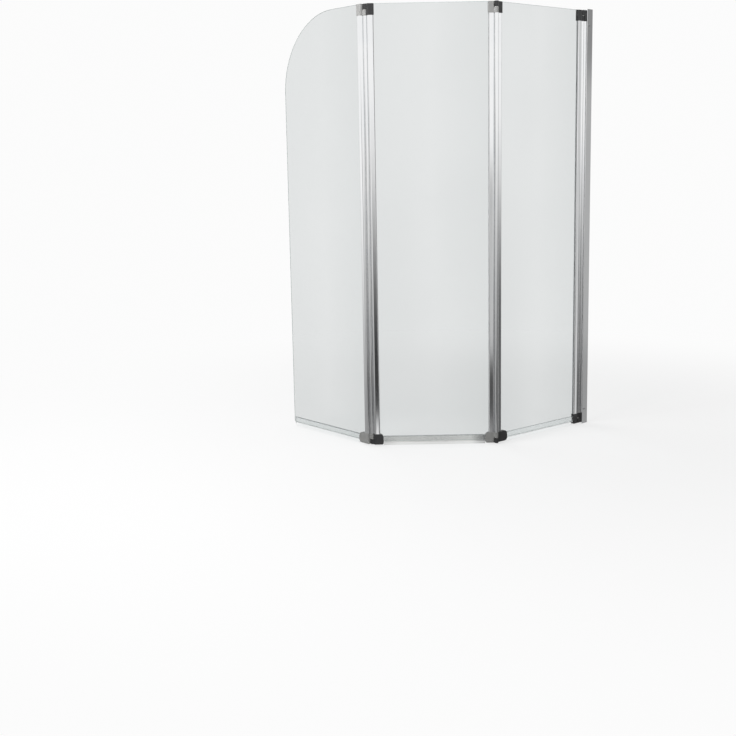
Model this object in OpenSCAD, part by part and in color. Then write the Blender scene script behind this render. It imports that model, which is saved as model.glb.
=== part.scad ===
// Folding bath screen: three glass panels on polished hinge stiles, fixed to the wall by a U profile.
// Millimetres. X = 0 is the wall, the screen runs towards -X along the bath rim, +Y is over the bath,
// -Y is the room side and Z = 0 is the top of the rim.

/* [Screen] */
// Height of the wall profile, which is the height of the screen
screen_h = 1400; // [900:10:1800]
// Distance between the hinge pins of the wall panel
wall_panel_pitch = 400; // [240:1:600]
// Distance between the hinge pins of the middle panel
middle_panel_pitch = 403; // [240:1:600]
// Distance from the last hinge pin to the free edge of the end panel
end_panel_w = 398; // [320:1:600]
// Radius of the rounded top corner of the end panel
corner_r = 250; // [20:5:280]
// Radius of the bottom corner at the free edge
foot_corner_r = 6; // [1:1:20]
// Height of the caps' undersides above the rim
rim_gap = 4; // [2:0.5:12]

/* [Pose as shown] */
// Turn of the wall panel from the line of the rim, inwards positive
turn_1 = 3; // [-60:0.1:60]
// Turn of the middle panel from the wall panel
turn_2 = 37.6; // [-60:0.1:44]
// Turn of the end panel from the middle panel
turn_3 = 47.8; // [0:0.1:120]

/* [Glass] */
// Thickness of the toughened glass
glass_t = 5; // [4:0.5:6]
// Depth of glass held inside a stile
glass_grip = 6; // [5:0.5:9]
// Height of the glass above the rim
glass_lift = 14; // [11:0.5:24]
// Width of the ground arris along the edges of the glass
arris = 0.6; // [0.2:0.1:1]
// Clearance between the glass and the slots of the caps, each side
glass_clear = 0.15; // [0.05:0.05:0.4]

/* [Stiles] */
// Width of a stile along its panel
stile_w = 18; // [17:0.5:30]
// Thickness of a stile, front to back
stile_t = 13; // [13:0.5:20]
// Wall of the extrusions
stile_wall = 1.4; // [1:0.1:2]
// Edge radius of a stile on its glass side
stile_edge_r = 2; // [0.5:0.1:2.5]
// Thickness of the rubber glazing channel
gasket_t = 1.6; // [1.2:0.1:2]
// Width of the key that holds the glazing channel
key_w = 1.2; // [0.8:0.1:2]
// Depth of the key that holds the glazing channel
key_depth = 0.6; // [0.3:0.1:0.8]
// Distance of the key from the mouth of the slot
key_inset = 3; // [2:0.5:4]
// Radius of the glazing channel's rounded lip
lip_r = 0.9; // [0.5:0.1:1.2]
// Radius of the round screw port in a stile
port_r = 2.8; // [2.4:0.1:3]
// Radius of the hole in a screw port
port_hole_r = 1.65; // [1.3:0.05:1.8]

/* [Hinges] */
// Diameter of the hinge rods
rod_d = 6; // [4:0.5:6]
// Radial running clearance between a rod and its bushes
rod_clear = 0.05; // [0.02:0.01:0.1]
// Distance from the wall hinge pin to the nose of a stile
wall_hinge_gap = 6.5; // [6:0.1:8]
// Distance from a folding hinge pin to the nose of a stile
fold_hinge_gap = 5; // [4.5:0.1:7]
// Gap between two caps that are folded flat together
fold_clear = 1; // [0.6:0.1:3]
// Clearance between a knuckle and the cap that turns round it
knuckle_clear = 0.4; // [0.3:0.05:1]
// Clearance between a rod sleeve and the stile that turns round it
sleeve_clear = 0.6; // [0.4:0.05:1.2]
// Vertical clearance at the ends of a rod sleeve
sleeve_end_clear = 0.3; // [0.2:0.1:1]
// Width of the neck that joins a knuckle to its cap
neck_w = 9; // [6:0.5:9.5]
// Depth of cap left closed over the end of a rod
rod_cover = 3; // [2:0.5:6]
// Wall of a bush
bush_wall = 1.3; // [1:0.1:1.4]
// Thickness of a bush flange
flange_t = 1; // [0.6:0.1:2]
// Width of a bush flange beyond the bush
flange_w = 0.8; // [0.5:0.1:0.8]
// Vertical clearance between a bush flange and the knuckle that it turns on
flange_clear = 0.2; // [0.1:0.05:0.5]
// Radial clearance of a bush or rod in its seat
seat_clear = 0.02; // [0.01:0.01:0.05]

/* [End caps] */
// Height of an end cap
cap_h = 35; // [30:1:60]
// How far a cap stands proud of its stile, all round
cap_proud = 0.5; // [0.2:0.1:0.8]
// Reach over the glass of the bottom cap at the wall
cap_reach_wall = 2; // [1:1:60]
// Reach over the glass of the bottom caps of the middle panel
cap_reach_short = 12; // [2:1:60]
// Reach over the glass of the bottom caps next to the middle panel
cap_reach_long = 27; // [2:1:60]
// Reach of the top caps over the glass
cap_reach_top = 3; // [0:0.5:10]
// Edge radius of the caps
cap_edge_r = 1.6; // [0.5:0.1:2.2]
// Least radius of a cap's outer corner over the glass
cap_foot_r = 4; // [2.5:0.5:6]
// Largest radius at the tip of a bottom cap's tongue
tongue_r = 14; // [2:0.5:16]
// Length of the spigot that locates a cap in its stile
spigot_l = 7; // [3:0.5:15]
// Clearance round a spigot
spigot_clear = 0.2; // [0.1:0.05:0.4]
// Thickness of cap under a screw head
screw_seat = 9; // [5:0.5:14]
// Radius of a cap screw's head
screw_head_r = 3.1; // [2.6:0.1:3.2]
// Height of a cap screw's head
screw_head_h = 2.2; // [1.5:0.1:3]
// Radius of a cap screw's shank
screw_r = 1.6; // [1.2:0.05:1.6]
// Depth of a cap screw in its port
screw_bite = 16; // [8:1:30]
// Clearance round a screw head or shank in a cap
screw_clear = 0.4; // [0.2:0.1:0.4]

/* [Wall profile] */
// Width of the wall profile across the screen
profile_w = 20; // [19:0.5:30]
// Depth of the wall profile out from the wall
profile_d = 28; // [24:0.5:33]
// Wall of the wall profile
profile_wall = 1.6; // [1.2:0.1:2]
// Distance from the wall to the wall hinge pin
pin_to_wall = 41; // [40:0.5:50]
// Width of the hinge post behind its nose
post_w = 22.5; // [20:0.5:24]
// Thickness of the ribs that guide the post in the profile
guide_rib_w = 4; // [3:0.5:6]
// Clearance between the post's caps and a guide rib
guide_clear = 0.3; // [0.1:0.1:0.6]
// Length of the post gaskets along the mouth of the profile
mouth_gasket_w = 3.4; // [2:0.1:4]
// Radius of the wall screw holes
wall_hole_r = 3; // [2:0.25:4]
// Distance of the outer wall screw holes from the profile's ends
wall_hole_inset = 80; // [60:5:200]
// Distance of the lock screws from the profile's ends
lock_inset = 52; // [45:1:58]
// Distance of the lock screws from the wall
lock_x = 18; // [16:0.5:20]
// Radius of a lock screw's head
lock_head_r = 3.6; // [2.5:0.1:4.5]
// Height of a lock screw's head
lock_head_h = 2.2; // [1:0.1:3]
// Radius of a lock screw's shank
lock_r = 2; // [1.5:0.1:2.5]
// Length of a lock screw's shank
lock_l = 7; // [6:0.5:10]

/* [Bottom seals] */
// Wall of the clear seal
seal_wall = 1.2; // [0.8:0.1:2]
// Height of the seal's legs up the glass
seal_grip = 18; // [8:1:30]
// Clearance between the seals and the rim
seal_rim_clear = 1.5; // [0.5:0.5:4]
// Gap between a seal and the tongue of a cap
seal_end_gap = 0.3; // [0.1:0.1:2]
// Reach of the drip rail over the bath
drip_reach = 5.5; // [2:0.5:6]
// Drop of the drip rail
drip_drop = 6; // [2:0.5:8]
// Radius of the bead along the top of each leg
bead_r = 0.9; // [0.7:0.05:1.2]
// Bend of the wiping fin towards the room
fin_bend = 2.5; // [0:0.5:4]

/* [Hidden] */
$fn = 96;
eps = 0.01;
over = 1;

polished = [0.80, 0.81, 0.82];
steel = [0.66, 0.67, 0.69];
moulded_black = [0.06, 0.06, 0.07];
moulded_grey = [0.46, 0.46, 0.45];
rubber_grey = [0.30, 0.31, 0.32];
nylon_white = [0.92, 0.92, 0.90];
glass_tint = [0.80, 0.88, 0.88, 0.35];
seal_clear_tint = [0.86, 0.88, 0.88, 0.6];

stile_half = stile_t / 2;
cap_half = stile_half + cap_proud;
pin_out = cap_half + fold_clear / 2;
slot_half = glass_t / 2 + gasket_t;
slot_depth = glass_grip + gasket_t;
body_top = screen_h - rim_gap;
stile_low = rim_gap + cap_h;
stile_high = body_top - cap_h;
glass_h = body_top - glass_lift;
port_x = stile_w - slot_depth - stile_wall - port_r + stile_wall / 2;
lug_split = flange_t + flange_clear;
lug_h = (cap_h - lug_split) / 2;
rod_r = rod_d / 2;
bush_bore_r = rod_r + rod_clear;
bush_r = bush_bore_r + bush_wall;
profile_half = profile_w / 2;
profile_inner = profile_half - profile_wall;

// Hinge 1 is at the wall, 2 folds towards the room and 3 folds over the bath
function hinge_gap(k) = k == 1 ? wall_hinge_gap : fold_hinge_gap;
function pin_side(k) = k == 1 ? 0 : k == 2 ? 1 : -1;
function pin_offset(k) = pin_side(k) * pin_out;
function nose_x(k) = hinge_gap(k) + stile_half;
function nose_reach(k) = norm([nose_x(k), pin_offset(k)]);
function knuckle_r(k) = nose_reach(k) - cap_half - knuckle_clear;
function sleeve_r(k) = nose_reach(k) - stile_half - sleeve_clear;

// Panels are numbered from the wall; a panel's far end is at its next hinge
headings = [turn_1, turn_1 + turn_2, turn_1 + turn_2 + turn_3];
function heading(i) = headings[i - 1];
function pitch(i) = i == 1 ? wall_panel_pitch : middle_panel_pitch;
function along(i) = [-cos(heading(i)), sin(heading(i))];
function outward(i) = [-sin(heading(i)), -cos(heading(i))];
function pin(k) = k == 1 ? [-pin_to_wall, 0]
    : foot(k - 1) + pitch(k - 1) * along(k - 1) + pin_offset(k) * outward(k - 1);
function foot(i) = pin(i) - pin_offset(i) * outward(i);
function bottom_reach(i, k) = k == 1 ? cap_reach_wall : i == 2 ? cap_reach_short : cap_reach_long;
function glass_start(i) = hinge_gap(i) + stile_w - glass_grip;
function glass_end(i) = i == 3 ? end_panel_w : pitch(i) - glass_start(i + 1);
function cap_end(i, k) = hinge_gap(k) + stile_w + cap_proud + bottom_reach(i, k);

// ---------- placing ----------

// Panel frame: x along the panel from its first pin, y to the room side
module on_panel(i) {
    translate([foot(i).x, foot(i).y, 0])
        rotate([0, 0, 180 - heading(i)])
            children();
}

// Post frame: x from the first pin towards the wall
module on_post() {
    translate([-pin_to_wall, 0, 0])
        children();
}

// The same frame at a panel's far end, looking back along the panel
module at_far_end(i) {
    translate([pitch(i), 0, 0])
        mirror([1, 0, 0])
            children();
}

// Turns a part drawn from the rim upwards over to the top of the screen
module at_top() {
    translate([0, 0, rim_gap + body_top])
        mirror([0, 0, 1])
            children();
}

// Draws a profile in y and z and runs it along x
module run_along_x(start, length) {
    translate([start, 0, 0])
        rotate([90, 0, 90])
            linear_extrude(length)
                children();
}

// ---------- profiles ----------

// Bar with a half-round nose towards the pin and rounded corners at its other end
module bar_outline(start, width, half, edge_r) {
    straight = width - half - edge_r;
    translate([start + half, 0])
        circle(half);
    translate([start + half, -half])
        square([straight, 2 * half]);
    translate([start + half + straight - eps, -(half - edge_r)])
        square([edge_r + eps, 2 * (half - edge_r)]);
    for (side = [-1, 1])
        translate([start + width - edge_r, side * (half - edge_r)])
            circle(edge_r);
}

// Hollow behind the nose of an extrusion, closed by a web at web_x
module nose_chamber(start, web_x, inset) {
    intersection() {
        union() {
            translate([start + stile_half, 0])
                circle(stile_half - stile_wall - inset);
            translate([start + stile_half, -(stile_half - stile_wall - inset)])
                square([web_x, 2 * (stile_half - stile_wall - inset)]);
        }
        translate([start, -stile_half])
            square([web_x - inset, stile_t]);
    }
}

module screw_port(x) {
    translate([x, 0])
        difference() {
            circle(port_r);
            circle(port_hole_r);
        }
}

module stile_profile(k) {
    start = hinge_gap(k);
    mouth = start + stile_w;
    difference() {
        bar_outline(start, stile_w, stile_half, stile_edge_r);
        nose_chamber(start, stile_w - slot_depth - stile_wall, 0);
        translate([mouth - slot_depth, -slot_half])
            square([slot_depth + over, 2 * slot_half]);
        for (side = [-1, 1])
            translate([mouth - key_inset - key_w, side * slot_half - key_depth])
                square([key_w, 2 * key_depth]);
    }
    screw_port(start + port_x);
}

module glazing_profile(k) {
    mouth = hinge_gap(k) + stile_w;
    translate([mouth - slot_depth, -slot_half])
        square([gasket_t, 2 * slot_half]);
    for (side = [-1, 1]) {
        translate([mouth - slot_depth, side * (glass_t + gasket_t) / 2 - gasket_t / 2])
            square([slot_depth + lip_r, gasket_t]);
        translate([mouth - key_inset - key_w, side * slot_half - key_depth])
            square([key_w, 2 * key_depth]);
        translate([mouth + lip_r, side * (glass_t / 2 + lip_r)])
            circle(lip_r);
    }
}

module post_profile() {
    start = hinge_gap(1);
    difference() {
        bar_outline(start, post_w, stile_half, stile_edge_r);
        nose_chamber(start, post_w - stile_wall, 0);
    }
    post_port();
}

// Screw port of the post on a rib across its chamber
module post_port() {
    start = hinge_gap(1);
    rib = (stile_half - stile_wall) + eps;
    screw_port(start + port_x);
    for (side = [-1, 1])
        translate([start + port_x - stile_wall / 2, side > 0 ? port_r - stile_wall / 2 : -rib])
            square([stile_wall, rib - port_r + stile_wall / 2]);
}

module wall_profile_section() {
    rib_reach = profile_inner - cap_half - guide_clear;
    lip = profile_wall / 2;
    difference() {
        translate([lip - profile_d, -profile_half])
            square([profile_d - lip, profile_w]);
        translate([-profile_d - over, -profile_inner])
            square([profile_d - profile_wall + over, 2 * profile_inner]);
    }
    for (side = [-1, 1]) {
        translate([lip - profile_d, side * (profile_half - lip)])
            circle(lip);
        translate([-lock_x - guide_rib_w / 2, side > 0 ? profile_inner - rib_reach : -profile_inner])
            square([guide_rib_w, rib_reach]);
        translate([mouth_gasket_w + lip - profile_d, side > 0 ? profile_inner - lip : -profile_inner])
            square([lip, lip]);
    }
}

// Section of the clear seal, with the edge of the glass at the origin
module seal_section() {
    leg_x = glass_t / 2;
    skirt = glass_lift - seal_rim_clear;
    translate([-leg_x - seal_wall, -seal_wall])
        square([2 * (leg_x + seal_wall), seal_wall]);
    for (side = [-1, 1]) {
        translate([side > 0 ? leg_x : -leg_x - seal_wall, -seal_wall])
            square([seal_wall, seal_grip + seal_wall - bead_r]);
        translate([side * (leg_x + bead_r), seal_grip - bead_r])
            circle(bead_r);
    }
    // wiping fin down to the rim, bent to the room side
    polygon([
        [-seal_wall / 2, -seal_wall / 2],
        [fin_bend - seal_wall / 4, -skirt],
        [fin_bend + seal_wall / 2, -skirt],
        [seal_wall / 2, -seal_wall / 2]
    ]);
    // drip rail over the bath
    polygon([
        [-leg_x - seal_wall / 2, 0],
        [-leg_x - seal_wall - drip_reach, -drip_drop],
        [-leg_x - seal_wall - drip_reach, -drip_drop - seal_wall],
        [-leg_x - seal_wall / 2, -seal_wall]
    ]);
}

// ---------- wall side ----------

module wall_profile() {
    color(polished)
        difference() {
            linear_extrude(screen_h)
                wall_profile_section();
            for (z = [wall_hole_inset, screen_h / 2, screen_h - wall_hole_inset])
                translate([-profile_wall - over, 0, z])
                    rotate([0, 90, 0])
                        cylinder(r = wall_hole_r, h = profile_wall + 2 * over);
            lock_holes(profile_half + over, profile_half + over - stile_half);
        }
}

// Shank holes of the two lock screws, from y = -start inwards
module lock_holes(start, depth) {
    for (z = [lock_inset, screen_h - lock_inset])
        translate([-lock_x, -start, z])
            rotate([-90, 0, 0])
                cylinder(r = lock_r + seat_clear, h = depth);
}

module hinge_post() {
    color(polished)
        difference() {
            on_post()
                translate([0, 0, stile_low])
                    linear_extrude(stile_high - stile_low)
                        post_profile();
            lock_holes(stile_half + over, stile_wall + 2 * over);
        }
}

module post_gaskets() {
    thick = profile_inner - stile_half;
    start = profile_wall / 2 - profile_d;
    color(rubber_grey)
        for (side = [-1, 1])
            translate([start, side > 0 ? stile_half : -profile_inner, stile_low])
                cube([mouth_gasket_w, thick, stile_high - stile_low]);
}

module lock_screws() {
    color(steel)
        for (z = [lock_inset, screen_h - lock_inset])
            translate([-lock_x, -profile_half, z])
                rotate([-90, 0, 0]) {
                    cylinder(r = lock_r, h = lock_l);
                    pan_head(lock_head_r, lock_head_h);
                }
}

// Head with a domed edge, standing on z = 0 and rising towards -z
module pan_head(r, h) {
    translate([0, 0, -h])
        rotate_extrude()
            union() {
                translate([0, h / 2])
                    square([r, h / 2]);
                square([r - h / 2, h]);
                translate([r - h / 2, h / 2])
                    circle(h / 2);
            }
}

// ---------- hinge hardware ----------

module hinge_rod(k) {
    low = rim_gap + rod_cover;
    translate([0, pin_offset(k), low])
        cylinder(r = rod_r, h = rim_gap + body_top - 2 * low);
}

module rod_sleeve(k) {
    low = stile_low + sleeve_end_clear;
    translate([0, pin_offset(k), low])
        difference() {
            cylinder(r = sleeve_r(k), h = rim_gap + body_top - 2 * low);
            translate([0, 0, -over])
                cylinder(r = bush_bore_r, h = rim_gap + body_top - 2 * low + 2 * over);
        }
}

module bush(k) {
    translate([0, pin_offset(k), rim_gap + lug_h + flange_clear])
        difference() {
            union() {
                cylinder(r = bush_r + flange_w, h = flange_t);
                cylinder(r = bush_r, h = flange_t + lug_h);
            }
            translate([0, 0, -over])
                cylinder(r = bush_bore_r, h = flange_t + lug_h + 2 * over);
        }
}

module hinge_bushes(k) {
    color(nylon_white) {
        bush(k);
        at_top()
            bush(k);
    }
}

// ---------- end caps ----------

// Moulded body of a cap on a bar of that width: its plan, side and end outlines cut each other
module cap_body(k, width, reach) {
    start = hinge_gap(k) - cap_proud;
    length = width + reach + 2 * cap_proud;
    tip_r = min(tongue_r, reach + cap_proud);
    foot_r = max(cap_foot_r, min(tongue_r, reach / 2));
    intersection() {
        linear_extrude(cap_h)
            bar_outline(start, length, cap_half, cap_edge_r);
        rotate([90, 0, 0])
            translate([0, 0, -cap_half - over])
                linear_extrude(2 * (cap_half + over))
                    cap_side(start, length, tip_r, foot_r);
        run_along_x(start - over, length + 2 * over)
            cap_end_outline();
    }
}

// Side view of a cap, drawn from its outer end upwards
module cap_side(start, length, tip_r, foot_r) {
    low = max(cap_edge_r, foot_r);
    translate([start + cap_edge_r, 0])
        square([length - cap_edge_r - foot_r, cap_h / 2]);
    translate([start, low])
        square([length, cap_h - tip_r - low]);
    translate([start, cap_edge_r])
        square([length - tip_r, cap_h - cap_edge_r]);
    translate([start + cap_edge_r, cap_edge_r])
        circle(cap_edge_r);
    translate([start + length - foot_r, foot_r])
        circle(foot_r);
    translate([start + length - tip_r, cap_h - tip_r])
        circle(tip_r);
}

// End view of a cap, with rounded lower edges
module cap_end_outline() {
    translate([-cap_half, cap_edge_r])
        square([2 * cap_half, cap_h]);
    translate([-(cap_half - cap_edge_r), 0])
        square([2 * (cap_half - cap_edge_r), cap_h]);
    for (side = [-1, 1])
        translate([side * (cap_half - cap_edge_r), cap_edge_r])
            circle(cap_edge_r);
}

// Knuckle and its neck; an inner one stands above the split, an outer one below it
module knuckle(k, inner) {
    centre = [0, pin_offset(k)];
    nose = [nose_x(k), 0];
    aside = [pin_offset(k), nose_x(k)] * neck_w / 2 / nose_reach(k);
    translate([0, 0, inner ? cap_h - lug_h : 0])
        linear_extrude(lug_h) {
            translate(centre)
                circle(knuckle_r(k));
            polygon([centre - aside, nose - aside, nose + aside, centre + aside]);
        }
}

// Seat in the knuckle: a through hole for a bush, or a blind hole for the rod
module knuckle_bore(k, inner) {
    translate([0, pin_offset(k), inner ? cap_h - lug_h - over : rod_cover])
        cylinder(r = seat_clear + (inner ? bush_r : rod_r), h = inner ? lug_h + 2 * over : lug_h);
}

module cap_screw_hole(k) {
    translate([hinge_gap(k) + port_x, 0, -over]) {
        cylinder(r = screw_r + screw_clear, h = cap_h + spigot_l + 2 * over);
        cylinder(r = screw_head_r + screw_clear, h = cap_h - screw_seat + over);
    }
}

// Locating spigot that enters the stile's nose chamber round the screw port
module cap_spigot(k, width) {
    start = hinge_gap(k);
    translate([0, 0, cap_h - eps])
        linear_extrude(spigot_l)
            difference() {
                nose_chamber(start, port_x + port_r / 2, spigot_clear);
                translate([start + port_x, 0])
                    circle(port_r + spigot_clear);
                translate([start + port_x - stile_wall / 2 - spigot_clear, -stile_half])
                    square([width, stile_t]);
            }
}

// The panels beyond the folding hinges start with grey caps, and all other caps are black
function cap_colour(k, inner) = inner && k > 1 ? moulded_grey : moulded_black;

// A whole cap, standing on its outer end, with its glass slot from seat_z upwards
module end_cap(k, reach, inner, seat_z) {
    glass_edge = hinge_gap(k) + stile_w - glass_grip - glass_clear;
    difference() {
        union() {
            cap_body(k, stile_w, reach);
            knuckle(k, inner);
            cap_spigot(k, stile_w);
        }
        knuckle_bore(k, inner);
        cap_screw_hole(k);
        translate([glass_edge, -glass_t / 2 - glass_clear, seat_z])
            cube([stile_w + reach, glass_t + 2 * glass_clear, cap_h + 2 * over]);
    }
}

module bottom_cap(i, k, inner) {
    color(cap_colour(k, inner))
        translate([0, 0, rim_gap])
            end_cap(k, bottom_reach(i, k), inner, glass_lift - rim_gap);
}

module top_cap(k, inner) {
    color(cap_colour(k, inner))
        at_top()
            translate([0, 0, rim_gap])
                end_cap(k, cap_reach_top, inner, -over);
}

module post_cap() {
    color(moulded_black)
        translate([0, 0, rim_gap])
            difference() {
                union() {
                    cap_body(1, post_w, 0);
                    knuckle(1, false);
                    cap_spigot(1, post_w);
                }
                knuckle_bore(1, false);
                cap_screw_hole(1);
            }
}

module cap_screw(k) {
    translate([hinge_gap(k) + port_x, 0, rim_gap + cap_h - screw_seat]) {
        cylinder(r = screw_r, h = screw_seat + screw_bite);
        pan_head(screw_head_r, screw_head_h);
    }
}

module cap_screw_pair(k) {
    color(steel) {
        cap_screw(k);
        at_top()
            cap_screw(k);
    }
}

// ---------- panels ----------

module stile(k) {
    color(polished)
        translate([0, 0, stile_low])
            linear_extrude(stile_high - stile_low)
                stile_profile(k);
}

module glazing_channel(k) {
    color(rubber_grey)
        translate([0, 0, stile_low])
            linear_extrude(stile_high - stile_low)
                glazing_profile(k);
}

module straight_glass(i) {
    color(glass_tint)
        translate([0, 0, glass_lift])
            run_along_x(glass_start(i), glass_end(i) - glass_start(i))
                intersection() {
                    arrissed_edge(glass_h);
                    translate([0, glass_h])
                        mirror([0, 1])
                            arrissed_edge(glass_h);
                }
}

// Section of a pane that ends in an arrissed edge at y = height, and runs past y = 0
module arrissed_edge(height) {
    half = glass_t / 2;
    polygon([
        [half, -over], [half, height - arris], [half - arris, height],
        [arris - half, height], [-half, height - arris], [-half, -over]
    ]);
}

// Round corner of the pane, as a disc with arrissed edges
module glass_corner(x, z, r, facets) {
    translate([x, 0, z])
        rotate([90, 0, 0])
            rotate_extrude($fn = facets)
                intersection() {
                    rotate([0, 0, -90])
                        arrissed_edge(r);
                    translate([0, -glass_t])
                        square([r, 2 * glass_t]);
                }
}

// The end pane: a large quarter round at the top of its free edge and a small one at the foot
module end_glass() {
    start = glass_start(3);
    flat_w = end_panel_w - corner_r;
    color(glass_tint)
        translate([0, 0, glass_lift])
            intersection() {
                translate([start, -glass_t, 0])
                    cube([end_panel_w, 2 * glass_t, glass_h]);
                union() {
                    glass_corner(flat_w, glass_h - corner_r, corner_r, 360);
                    glass_corner(end_panel_w - foot_corner_r, foot_corner_r, foot_corner_r, 48);
                    translate([start, 0, corner_r])
                        run_along_x(0, flat_w - start)
                            arrissed_edge(glass_h - corner_r);
                    translate([start, 0, corner_r])
                        run_along_x(0, end_panel_w - foot_corner_r - start)
                            mirror([0, 1])
                                arrissed_edge(corner_r);
                    translate([0, 0, foot_corner_r])
                        linear_extrude(glass_h - corner_r - foot_corner_r)
                            rotate([0, 0, -90])
                                arrissed_edge(end_panel_w);
                }
            }
}

module bottom_seal(i) {
    start = cap_end(i, i) + seal_end_gap;
    end = i == 3 ? end_panel_w - foot_corner_r : pitch(i) - cap_end(i, i + 1) - seal_end_gap;
    color(seal_clear_tint)
        translate([0, 0, glass_lift])
            run_along_x(start, end - start)
                seal_section();
}

// ---------- assembly ----------

wall_profile();
hinge_post();
on_post() at_top() post_cap();  // post_cap_top
on_post() post_cap();  // post_cap_bottom
post_gaskets();
lock_screws();
on_post() cap_screw_pair(1);  // post_cap_screws
on_post() color(steel) hinge_rod(1);  // hinge_rod_1
on_post() color(polished) rod_sleeve(1);  // rod_sleeve_1

on_panel(1) straight_glass(1);  // glass_1
on_panel(1) stile(1);  // stile_1_near
on_panel(1) at_far_end(1) stile(2);  // stile_1_far
on_panel(1) top_cap(1, true);  // cap_1_near_top
on_panel(1) bottom_cap(1, 1, true);  // cap_1_near_bottom
on_panel(1) at_far_end(1) top_cap(2, false);  // cap_1_far_top
on_panel(1) at_far_end(1) bottom_cap(1, 2, false);  // cap_1_far_bottom
on_panel(1) {  // glazing_gaskets_1
    glazing_channel(1);
    at_far_end(1) glazing_channel(2);
}
on_panel(1) bottom_seal(1);  // bottom_seal_1
on_panel(1) hinge_bushes(1);  // hinge_bushes_1
on_panel(1) {  // cap_screws_1
    cap_screw_pair(1);
    at_far_end(1) cap_screw_pair(2);
}
on_panel(1) at_far_end(1) color(steel) hinge_rod(2);  // hinge_rod_2
on_panel(1) at_far_end(1) color(polished) rod_sleeve(2);  // rod_sleeve_2

on_panel(2) straight_glass(2);  // glass_2
on_panel(2) stile(2);  // stile_2_near
on_panel(2) at_far_end(2) stile(3);  // stile_2_far
on_panel(2) top_cap(2, true);  // cap_2_near_top
on_panel(2) bottom_cap(2, 2, true);  // cap_2_near_bottom
on_panel(2) at_far_end(2) top_cap(3, false);  // cap_2_far_top
on_panel(2) at_far_end(2) bottom_cap(2, 3, false);  // cap_2_far_bottom
on_panel(2) {  // glazing_gaskets_2
    glazing_channel(2);
    at_far_end(2) glazing_channel(3);
}
on_panel(2) bottom_seal(2);  // bottom_seal_2
on_panel(2) hinge_bushes(2);  // hinge_bushes_2
on_panel(2) {  // cap_screws_2
    cap_screw_pair(2);
    at_far_end(2) cap_screw_pair(3);
}
on_panel(2) at_far_end(2) color(steel) hinge_rod(3);  // hinge_rod_3
on_panel(2) at_far_end(2) color(polished) rod_sleeve(3);  // rod_sleeve_3

on_panel(3) end_glass();  // glass_3
on_panel(3) stile(3);  // stile_3
on_panel(3) top_cap(3, true);  // cap_3_top
on_panel(3) bottom_cap(3, 3, true);  // cap_3_bottom
on_panel(3) glazing_channel(3);  // glazing_gaskets_3
on_panel(3) bottom_seal(3);  // bottom_seal_3
on_panel(3) hinge_bushes(3);  // hinge_bushes_3
on_panel(3) cap_screw_pair(3);  // cap_screws_3
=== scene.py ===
"""Folding bath screen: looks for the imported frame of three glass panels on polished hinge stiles.

Everything is in metres and in the frame of the CAD model: X = 0 is the wall, the screen runs towards
-X along the bath rim, +Y is over the bath, -Y is the room side and Z = 0 is the top of the rim.
"""

from __future__ import annotations

import logging
import math
from dataclasses import asdict, dataclass, field, fields, replace
from enum import Enum

import bmesh
import bpy
from mathutils import Matrix, Vector


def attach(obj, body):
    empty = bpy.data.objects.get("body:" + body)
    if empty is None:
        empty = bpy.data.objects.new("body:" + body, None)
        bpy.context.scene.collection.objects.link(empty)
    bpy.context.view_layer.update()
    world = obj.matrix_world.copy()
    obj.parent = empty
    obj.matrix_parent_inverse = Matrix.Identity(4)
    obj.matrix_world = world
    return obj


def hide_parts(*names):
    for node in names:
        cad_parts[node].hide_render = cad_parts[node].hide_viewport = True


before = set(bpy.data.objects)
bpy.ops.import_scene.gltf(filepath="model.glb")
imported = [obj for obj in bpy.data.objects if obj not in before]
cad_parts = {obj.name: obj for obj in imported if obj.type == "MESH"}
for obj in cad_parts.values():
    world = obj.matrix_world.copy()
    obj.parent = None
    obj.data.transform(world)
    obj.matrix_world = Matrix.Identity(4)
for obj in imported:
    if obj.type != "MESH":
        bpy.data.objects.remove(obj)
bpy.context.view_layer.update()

MM = 0.001

log = logging.getLogger("bath_screen")

Point = tuple[float, float]
Span = tuple[float, float]
Triple = tuple[float, float, float]
Colour = tuple[float, float, float, float]
Faces = list[bmesh.types.BMFace]
Socket = bpy.types.NodeSocket
SocketNames = dict[str, tuple[str, ...]]
Aimed = tuple[Vector, Vector]


class Body(Enum):
    """The moving bodies of the screen, by their names in the frame."""

    WALL_SIDE = "wall_side"
    WALL_PANEL = "wall_panel"
    MIDDLE_PANEL = "middle_panel"
    END_PANEL = "end_panel"


class Slot(Enum):
    """The material slots of the record."""

    ALUMINIUM = "polished_aluminium"
    ROD = "rod_steel"
    SCREW = "screw_steel"
    MOULDING = "black_moulding"
    GREY_MOULDING = "grey_moulding"
    NYLON = "white_nylon"
    RUBBER = "grey_rubber"
    SEAL = "clear_seal"
    GLASS = "clear_glass"


# ---------- layout ----------


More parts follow.
